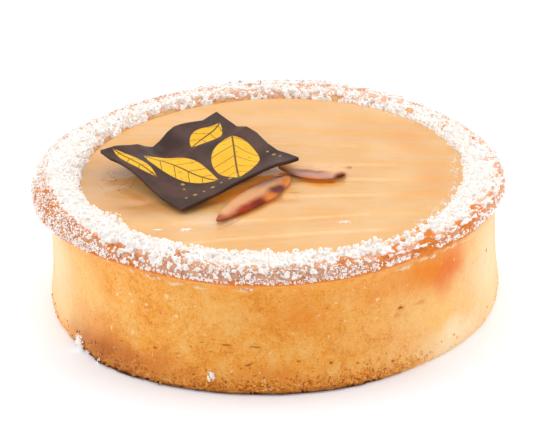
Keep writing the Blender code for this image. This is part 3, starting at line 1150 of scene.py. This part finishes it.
def scatter(name, grain, places, draw):
    """One mesh of many grains. places holds each one's centre and radius."""
    points, faces = grain
    count = len(points)
    all_points = np.empty((len(places) * count, 3))
    all_faces = []
    for index, (centre, radius) in enumerate(places):
        axis = Vector((draw.uniform(-1, 1), draw.uniform(-1, 1), draw.uniform(-1, 1) + 0.01)).normalized()
        turn = np.array(Matrix.Rotation(draw.uniform(0, 2 * pi), 3, axis))
        stretch = np.array([draw.uniform(0.75, 1.25) for _ in range(3)]) * radius
        all_points[index * count:(index + 1) * count] = (points * stretch) @ turn.T + np.array(centre)
        all_faces.extend(tuple(corner + index * count for corner in face) for face in faces)
    mesh = bpy.data.meshes.new(name)
    mesh.from_pydata(all_points.tolist(), [], all_faces)
    mesh.update()
    piece = bpy.data.objects.new(name, mesh)
    bpy.context.scene.collection.objects.link(piece)
    return piece


# Each grain drops on the rim from an oval round the middle of the rim's section: from and to an angle in
# degrees above the outward side, and its half width and half height in mm
GRAIN_ANGLES = (-25, 195)
GRAIN_OVAL = (5.5, 3.6)


def rim_places(tree, count, small, large, draw):
    """Places for grains on the rim: most where the sugar is neither bare nor a closed coat."""
    wide, tall = GRAIN_OVAL
    places = []
    tries = 0
    while len(places) < count and tries < 40 * count:
        tries += 1
        azimuth = draw.uniform(-180, 180)
        turn = draw.uniform(*GRAIN_ANGLES)
        middle = on_round(azimuth, 38.0 * MM, 22.3 * MM)
        outward = on_round(azimuth, 1.0)
        aim = (outward * cos(radians(turn)) + Vector((0, 0, sin(radians(turn))))).normalized()
        start = middle + Vector((aim.x * wide, aim.y * wide, aim.z * tall)) * MM
        point, normal, _, _ = tree.find_nearest(start)
        cover = max(0.0, sugar_cover(point) * (1 + 0.8 * noise.noise(point / (1.3 * MM))))
        wanted = min(1.0, 1.6 * cover) if cover < 0.85 else max(0.2, 3.4 - 3 * cover)
        if draw.random() > wanted:
            continue
        radius = draw.uniform(small, large)
        places.append((point + normal * radius * 0.4, radius))
    return places


def clump_places(tree, count, draw):
    """Places for ragged clumps, each of several grains: along the inner edge, and some on the crest."""
    places = []
    while len(places) < count:
        azimuth = draw.uniform(-180, 180)
        _, crest, inner, reach = sugar_row(azimuth)
        if draw.random() < 0.25:
            radius = draw.uniform(35.4, 38.8)
            wanted = max(0.0, crest - 0.8) * 4
        else:
            radius = RIM_INNER_RADIUS / MM - reach * draw.uniform(0.4, 1.3)
            wanted = max(0.0, inner - 0.7) * 3 * min(1.0, 0.2 + 0.5 * abs(reach))
        if draw.random() > wanted:
            continue
        width = draw.uniform(0.15, 0.35 + 0.2 * abs(reach))
        for _ in range(draw.randint(4, 14)):
            side = draw.gauss(0, width)
            inward = draw.gauss(0, 0.8 * width)
            start = on_round(azimuth + degrees(side / radius), (radius - inward) * MM, 25.5 * MM)
            point, normal, _, _ = tree.find_nearest(start)
            size = draw.uniform(0.1, 0.32) * MM
            heaped = max(0.0, width - hypot(side, inward)) * draw.random() * MM
            places.append((point + normal * size * 0.3 + Vector((0, 0, heaped)), size))
    return places


# Small heaps of sugar off the rim: azimuth, radius and height in mm, width, height, grains
SUGAR_HEAPS = (
    (-147.0, 41.1, 1.4, 0.9, 1.3, 300),
    (-106.0, 41.0, 3.2, 0.45, 0.75, 50),
    (-143.0, 41.4, 0.6, 0.4, 0.3, 18),
    (-138.0, 41.5, 0.7, 0.3, 0.3, 12),
    (-66.8, 38.4, 24.4, 0.9, 0.8, 110),
    (-121.0, 40.2, 20.2, 1.4, 0.5, 8),
    (-97.0, 40.2, 20.5, 1.5, 0.4, 6),
    (-49.0, 40.3, 20.4, 1.8, 0.4, 8),
)
# Sugar fallen on the glaze: x and y in mm, width, grains
SUGAR_FLECKS = (
    (-15.1, -22.4, 1.0, 46),
    (-20.1, -22.0, 0.5, 18),
    (12.1, -21.5, 1.0, 30),
    (-28.6, -14.5, 0.4, 8),
)
# Sugar that thins out over the glaze inside the rim: from and to azimuth, spread in mm, grains
SUGAR_FADES = (
    (-72, 8, 0.9, 700),
    (-150, -100, 0.5, 160),
    (20, 60, 0.5, 120),
)


def heap_places(tree, draw):
    """Places for the grains of the small heaps, of the flecks on the glaze and of the sugar's thin edge."""
    places = []
    for azimuth, radius, height, width, tall, count in SUGAR_HEAPS:
        for _ in range(count):
            up = draw.gauss(0, 0.5 * tall)
            side = degrees(draw.gauss(0, 0.5 * width) / radius)
            start = on_round(azimuth + side, (radius + 0.6) * MM, max(0.2, height + up) * MM)
            point, normal, _, _ = tree.find_nearest(start)
            size = draw.uniform(0.1, 0.22) * MM
            places.append((point + normal * draw.uniform(0.3, 2.2) * size, size))
    for x, y, width, count in SUGAR_FLECKS:
        for _ in range(count):
            start = Vector((x + draw.gauss(0, 0.55 * width), y + draw.gauss(0, 0.28 * width), 24)) * MM
            point, normal, _, _ = tree.find_nearest(start)
            size = draw.uniform(0.09, 0.17) * MM
            places.append((point + normal * 0.3 * size, size))
    for first, last, spread, count in SUGAR_FADES:
        for _ in range(count):
            azimuth = draw.uniform(first, last)
            reach = sugar_row(azimuth)[3] * 0.7 + abs(draw.gauss(0, spread))
            start = on_round(azimuth, RIM_INNER_RADIUS - reach * MM, 24 * MM)
            point, normal, _, _ = tree.find_nearest(start)
            size = draw.uniform(0.07, 0.16) * MM
            places.append((point + normal * 0.3 * size, size))
    return places


SUGAR_WHITE = colour(253, 250, 247)
SUGAR_CREAM = colour(249, 236, 224)
SUGAR_SHADE = colour(226, 200, 190)


def sugar_finish():
    constants = {
        "Roughness": 0.9,
        "Specular IOR Level": 0.2,
        # Painted light: a faint white glow keeps the sugar bright where its grains shade one another
        "Emission Color": colour(255, 248, 240),
        "Emission Strength": 0.06,
    }
    finish = Finish("icing_sugar", constants)
    fine = finish.grain(0.22 * MM, 2.0, 0.7)
    soft = finish.grain(1.3 * MM, 3.0, 0.6)
    skin = finish.mix(soft.rise(0.54, 0.34) * 0.8, SUGAR_WHITE, SUGAR_CREAM)
    skin = finish.mix(fine.rise(0.46, 0.32) * 0.55, skin, SUGAR_SHADE)
    finish.feed("Base Color", skin)
    finish.feed("Normal", finish.bump(fine, 0.03 * MM))
    return finish


# ---------------------------------------------------------------- chocolate


def make_chocolate():
    plaque = merged_copy("chocolate_leaf", "chocolate_square")
    bpy.ops.object.mode_set(mode="EDIT")
    bpy.ops.mesh.select_all(action="DESELECT")
    bpy.ops.mesh.edges_select_sharp(sharpness=radians(50))
    bpy.ops.transform.edge_crease(value=1.0)
    bpy.ops.object.mode_set(mode="OBJECT")
    under = plaque.vertex_groups.new(name="under")
    under.add([vertex.index for vertex in plaque.data.vertices if vertex.normal.z < -0.3], 1.0, "REPLACE")
    displace(plaque, 0.4 * MM, group=under.name, direction="Z")
    refine(plaque, 2)
    modify(plaque, "BEVEL", width=0.14 * MM, segments=2, limit_method="ANGLE", angle_limit=radians(50))
    displace(plaque, 0.1 * MM, 4 * MM)
    return plaque


# Petals of the print: centre, turn in degrees, length and half width, in mm from the square's front corner
PRINTED_PETALS = (
    ((17.8, 8.6), 58, 17.0, 4.4),
    ((8.6, 12.6), 108, 17.0, 3.3),
    ((19.2, 19.6), 26, 11.0, 2.6),
    ((2.4, 18.0), 94, 13.0, 1.6),
)
# Rows of dots in the print: the first dot, the step to the next, and how many
PRINTED_DOTS = (
    ((3.0, 3.0), (1.9, 0.0), 7),
    ((24.0, 3.5), (0.0, 1.9), 3),
    ((5.0, 6.5), (0.9, 1.7), 4),
)
COCOA = colour(84, 50, 38)
COCOA_DARK = colour(54, 27, 18)
YELLOW = colour(246, 196, 44)
YELLOW_DEEP = colour(238, 172, 16)
GOLD_DOT = colour(198, 156, 66)


def petal(across, along, centre, turn, length, width):
    """A pointed petal in the print, with its midrib: (inside, on a vein)."""
    u = across - centre[0]
    v = along - centre[1]
    run = (u * cos(radians(turn)) + v * sin(radians(turn))) / length
    off = abs(v * cos(radians(turn)) - u * sin(radians(turn)))
    edge = width * (1 - 4 * run * run) - off
    inside = edge.rise(0.0, 0.18)
    rib = off.rise(0.24, 0.1)
    slanted = (run * length + off * 0.9) / 3.1
    fraction = slanted.maths("FRACT", slanted)
    veins = abs(fraction - 0.5).rise(0.045, 0.015)
    return inside, rib.at_least(veins)


def chocolate_finish():
    finish = Finish("printed_chocolate", {"Specular IOR Level": 0.28})
    inside = finish.own_frame(CHOCOLATE_CORNER, CHOCOLATE_TURN, (MM, MM, MM))
    u, v, _ = finish.split(inside)
    cloud = finish.grain(6 * MM, 3.0)
    skin = finish.mix(cloud.rise(0.35, 0.7), COCOA_DARK, COCOA)
    printed = 0.0
    veins = 0.0
    for centre, turn, length, width in PRINTED_PETALS:
        shape, lines = petal(u, v, centre, turn, length, width)
        veins = (shape * lines).at_least(veins)
        printed = shape.at_least(printed)
    normal = finish.split(finish.node("ShaderNodeNewGeometry", output="Normal"))[2]
    upper = normal.rise(0.45, 0.6)
    worn = finish.grain(0.5 * MM, 3.0).rise(0.26, 0.36)
    yellow = finish.mix(cloud, YELLOW, YELLOW_DEEP)
    skin = finish.mix(printed * upper * worn, skin, yellow)
    skin = finish.mix(veins * upper * 0.85, skin, COCOA_DARK)
    for start, step, count in PRINTED_DOTS:
        for index in range(count):
            centre_u = start[0] + step[0] * index
            centre_v = start[1] + step[1] * index
            reach = ((u - centre_u) ** 2 + (v - centre_v) ** 2) ** 0.5
            size = 0.42 if index % 2 else 0.3
            skin = finish.mix(reach.rise(size, size - 0.12) * upper * 0.85, skin, GOLD_DOT)
    finish.feed("Base Color", skin)
    finish.feed("Roughness", 0.34 + 0.12 * printed + 0.1 * cloud)
    finish.feed("Normal", finish.bump(finish.grain(2.5 * MM, 2.0), 0.08 * MM))
    return finish


# ---------------------------------------------------------------- almond flakes


def make_flake(name, node):
    flake = merged_copy(name, node)
    refine(flake, 2)
    displace(flake, 0.2 * MM, 2.2 * MM)
    return flake


KERNEL = colour(240, 192, 144)
KERNEL_TAN = colour(214, 146, 96)
SKIN_RED = colour(156, 46, 4)
SKIN_ORANGE = colour(222, 124, 46)
SKIN_DARK = colour(104, 22, 0)
SKIN_PLUM = colour(112, 54, 50)
SKIN_LILAC = colour(196, 144, 130)

# Patches on each flake: run along it (1 at the pointed end) and across it (1 at the front edge), their
# half sizes, colour and strength
FRONT_FLAKE_PATCHES = (
    (0.1, 0.0, 1.4, 1.6, KERNEL_TAN, 0.55),
    # Painted shade: the warm strip along the back edge, where the chocolate shades the flake
    (0.0, -1.0, 1.3, 0.5, SKIN_ORANGE, 0.8),
    (0.42, 0.72, 0.95, 0.78, SKIN_RED, 1.0),
    (0.95, 0.0, 0.25, 1.2, SKIN_RED, 0.8),
    (0.14, 0.72, 0.26, 0.36, SKIN_DARK, 0.75),
    (0.5, 0.95, 0.6, 0.25, SKIN_DARK, 0.35),
    (-0.18, 0.8, 0.24, 0.5, SKIN_ORANGE, 1.0),
    (-0.78, 0.45, 0.3, 0.6, SKIN_ORANGE, 0.95),
    (-0.6, -0.4, 0.4, 0.5, SKIN_LILAC, 0.8),
    (-0.42, 0.6, 0.26, 0.62, SKIN_PLUM, 1.0),
    (-0.86, -0.35, 0.16, 0.4, SKIN_PLUM, 0.8),
    (-1.02, 0.25, 0.17, 1.1, SKIN_DARK, 1.0),
)
RIGHT_FLAKE_PATCHES = (
    (0.0, 0.62, 1.4, 0.55, SKIN_LILAC, 0.9),
    (0.0, 0.28, 0.7, 0.24, SKIN_PLUM, 0.5),
    (0.1, 1.05, 1.4, 0.3, SKIN_ORANGE, 0.8),
    (0.8, 0.1, 0.3, 1.2, GLAZE_ORANGE, 0.7),
    (-0.6, 1.0, 0.36, 0.3, SKIN_ORANGE, 0.9),
    (-0.9, 0.5, 0.26, 0.62, SKIN_DARK, 1.0),
    (-0.78, 0.95, 0.2, 0.3, SKIN_RED, 0.9),
)


def almond_finish(name, flake, patches):
    """A toasted flake: pale kernel, with red-brown skin along its front edge and dark at its round end."""
    length, width, centre, heading = flake
    constants = {
        "Roughness": 0.42,
        "Specular IOR Level": 0.1,
        "Coat Weight": 0.04,
        "Coat Roughness": 0.15,
        "Subsurface Weight": 0.1,
        "Subsurface Radius": (1.0, 0.5, 0.25),
        "Subsurface Scale": 0.5 * MM,
    }
    finish = Finish(name, constants)
    ragged = finish.shifted(0.5 * MM, 2.0 * MM)
    own_size = (0.5 * length * MM, 0.5 * width * MM, MM)
    inside = finish.own_frame(centre, radians(heading), own_size, ragged)
    run, off, _ = finish.split(inside)
    streak = finish.grain(0.9 * MM, 3.0, at=finish.join(run * (2.5 * MM), off * (4 * MM), 0.0))
    skin = finish.mix(streak.rise(0.35, 0.7) * 0.4, KERNEL, KERNEL_TAN)
    for along, across, half_run, half_off, shade, share in patches:
        reach = (((run - along) / half_run) ** 2 + ((off - across) / half_off) ** 2) ** 0.5
        skin = finish.mix(reach.rise(1.08, 0.3) * share, skin, shade)
    finish.feed("Base Color", skin)
    finish.feed("Normal", finish.bump(streak, 0.08 * MM))
    return finish


# ---------------------------------------------------------------- crumbs


def make_crumbs(tree, count, draw):
    """Crumbs of dough that stand out along the foot."""
    places = []
    while len(places) < count:
        azimuth = draw.uniform(-180, 180)
        height = abs(draw.gauss(0, 1.2)) + 0.7
        thick = 0.7 + noise.noise(on_round(azimuth, WALL_RADIUS, height * MM) / (2.2 * MM))
        if draw.random() > thick * read_off(FOOT_ROUGHNESS, azimuth):
            continue
        point, normal, _, _ = tree.find_nearest(on_round(azimuth, 41.2 * MM, height * MM))
        size = draw.uniform(0.12, 0.34) * MM
        if point.z > 0.5 * MM:
            places.append((point - normal * size * 0.45, size))
    return scatter("foot_crumbs", model_grain(1), places, draw)


def crumb_finish():
    constants = {
        "Roughness": 0.75,
        "Specular IOR Level": 0.3,
        "Subsurface Weight": 0.1,
        "Subsurface Radius": (1.0, 0.5, 0.2),
        "Subsurface Scale": 0.5 * MM,
    }
    finish = Finish("baked_crumbs", constants)
    pieces = finish.grain(0.5 * MM, 2.0, 0.6)
    skin = finish.ramp(pieces, (0.34, BROWN), (0.44, TOASTED), (0.56, GOLDEN), (0.68, STRAW))
    pale = finish.grain(0.9 * MM, 2.0, 0.6).rise(0.62, 0.7)
    skin = finish.mix(pale * 0.7, skin, CREAM_DOUGH)
    x, _, _ = finish.split(finish.place)
    skin = finish.mix(x.rise(12 * MM, 34 * MM) * 0.7, skin, STRAW)
    skin = finish.mix(x.rise(-8 * MM, -26 * MM) * 0.6, skin, BROWN)
    finish.feed("Base Color", skin)
    finish.feed("Normal", finish.bump(finish.grain(0.15 * MM), 0.05 * MM))
    return finish


# ---------------------------------------------------------------- studio

CAMERA_DISTANCE = 500 * MM
CAMERA_HEIGHT_ANGLE = radians(25.35)
CAMERA_ROLL = radians(1.75)
FOCAL_PIXELS = 2763  # distance from the lens to the picture, in pixels of a picture 550 wide
PICTURE_WIDTH = 550
PICTURE_CENTRE = 273.5
AIM = Vector((0, 0, 13.3 * MM))
WHITE = (1.0, 1.0, 1.0, 1.0)
# Soft lights: place and side in metres, power in watts
LIGHTS = (
    ("left_light", (-0.75, 0.1, 0.4), 0.7, 3.2),
    ("right_light", (0.75, 0.1, 0.4), 0.7, 3.2),
    ("top_light", (0.0, 0.35, 0.95), 0.8, 3.6),
)


def add_camera():
    data = bpy.data.cameras.new("camera")
    camera = bpy.data.objects.new("camera", data)
    bpy.context.scene.collection.objects.link(camera)
    data.sensor_width = 36.0
    data.lens = FOCAL_PIXELS / PICTURE_WIDTH * data.sensor_width
    data.shift_x = (PICTURE_WIDTH / 2 - PICTURE_CENTRE) / PICTURE_WIDTH
    data.clip_start = 0.01
    back = Vector((0, -cos(CAMERA_HEIGHT_ANGLE), sin(CAMERA_HEIGHT_ANGLE)))
    turn = (-back).to_track_quat("-Z", "Y").to_matrix().to_4x4()
    roll = Matrix.Rotation(-CAMERA_ROLL, 4, "Z")
    camera.matrix_world = Matrix.Translation(AIM + back * CAMERA_DISTANCE) @ turn @ roll
    bpy.context.scene.camera = camera


def add_floor():
    bpy.ops.object.select_all(action="DESELECT")
    bpy.ops.mesh.primitive_plane_add(size=8.0)
    floor = named("floor")
    lit = {
        "Base Color": colour(238, 243, 250),
        "Roughness": 0.9,
        "Specular IOR Level": 0.2,
        "Emission Color": WHITE,
        "Emission Strength": 0.17,
    }
    finish = Finish("white_table", lit)
    floor.data.materials.append(finish.material)


def add_light(name, place, size, power):
    """A soft square light that faces the tart."""
    data = bpy.data.lights.new(name, "AREA")
    data.shape = "SQUARE"
    data.size = size
    data.energy = power
    light = bpy.data.objects.new(name, data)
    bpy.context.scene.collection.objects.link(light)
    turn = (AIM - Vector(place)).to_track_quat("-Z", "Y").to_matrix().to_4x4()
    light.matrix_world = Matrix.Translation(place) @ turn


def add_studio():
    add_camera()
    add_floor()
    for name, place, size, power in LIGHTS:
        add_light(name, place, size, power)
    world = bpy.data.worlds.new("white_room")
    world.use_nodes = True
    world.node_tree.nodes["Background"].inputs["Color"].default_value = WHITE
    world.node_tree.nodes["Background"].inputs["Strength"].default_value = 0.62
    bpy.context.scene.world = world
    bpy.context.scene.view_settings.view_transform = "Standard"


# ---------------------------------------------------------------- the tart


# How many of each scattered kind: each kind stays under 200,000 triangles in all
RIM_GRAINS = 8200  # 20 triangles each, with the heaps' grains on top
DUST_GRAINS = 24000  # 8 triangles each
CLUMPED_GRAINS = 2200  # 80 triangles each
CRUMBS = 4800  # 20 triangles each


def add_sugar(sugar, tree, draw):
    """The loose sugar, scattered over the rim, the sugar coat and the glaze."""
    grains = rim_places(tree, RIM_GRAINS, 0.1 * MM, 0.21 * MM, draw) + heap_places(tree, draw)
    finish_piece(scatter("sugar_grains", model_grain(1), grains, draw), sugar)
    dust = rim_places(tree, DUST_GRAINS, 0.09 * MM, 0.17 * MM, draw)
    finish_piece(scatter("sugar_dust", model_grain(0), dust, draw), sugar)
    clumps = clump_places(tree, CLUMPED_GRAINS, draw)
    finish_piece(scatter("sugar_clumps", model_grain(2), clumps, draw), sugar)


def main():
    draw = Random(7)
    case = make_case()
    finish_piece(case, crust_finish(), replaces=["crust"])
    glaze = make_glazed_pear()
    finish_piece(glaze, glaze_finish(), replaces=PEAR_SLICES)

    sugar = sugar_finish()
    coat = make_sugar_coat(case, glaze)
    finish_piece(coat, sugar)
    ground = joined_copy("ground", case, glaze, coat)
    tree = tree_of(ground)
    add_sugar(sugar, tree, draw)
    finish_piece(make_crumbs(tree, CRUMBS, draw), crumb_finish())
    bpy.data.objects.remove(ground)

    finish_piece(make_chocolate(), chocolate_finish(), replaces=["chocolate_square"])
    flakes = (("front", FRONT_FLAKE, FRONT_FLAKE_PATCHES), ("right", RIGHT_FLAKE, RIGHT_FLAKE_PATCHES))
    for side, flake, patches in flakes:
        piece = make_flake(f"toasted_flake_{side}", f"almond_flake_{side}")
        finish = almond_finish(f"toasted_almond_{side}", flake, patches)
        finish_piece(piece, finish, replaces=[f"almond_flake_{side}"])
    add_studio()


main()
